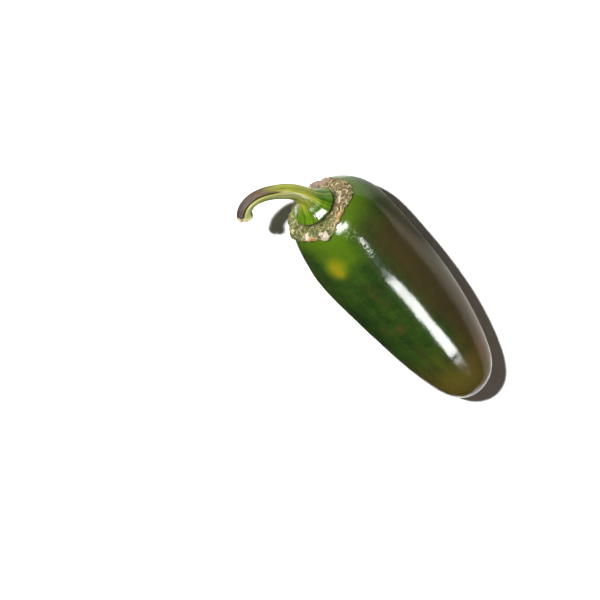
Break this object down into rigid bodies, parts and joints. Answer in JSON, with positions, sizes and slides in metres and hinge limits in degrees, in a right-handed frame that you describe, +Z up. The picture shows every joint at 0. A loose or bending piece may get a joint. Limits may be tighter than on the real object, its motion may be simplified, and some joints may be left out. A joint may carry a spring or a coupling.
{
  "type": "chilli pepper",
  "caption": "Large fresh green chilli pepper lying on its side, with a smooth glossy tapering pod, a corky calyx and a hooked stem.",
  "frame": {"origin": "on the surface that the pepper lies on, under the middle of its bounding box", "axes": "+X runs along the pod from the stem to the tip, +Z is up from the surface, and the stem hooks towards -Y"},
  "size_m": [0.1124, 0.0416, 0.0351],
  "materials": {
    "skin": "waxy glossy fruit skin, dark green with brown-purple blushes, olive at the tip",
    "stem": "satin yellow-green cup and stem, drying to brown on the outer side of the bend; matt corky tan calyx"
  },
  "bodies": {
    "root": {"pod": "skin", "calyx_stem": "stem"}
  },
  "joints": []
}
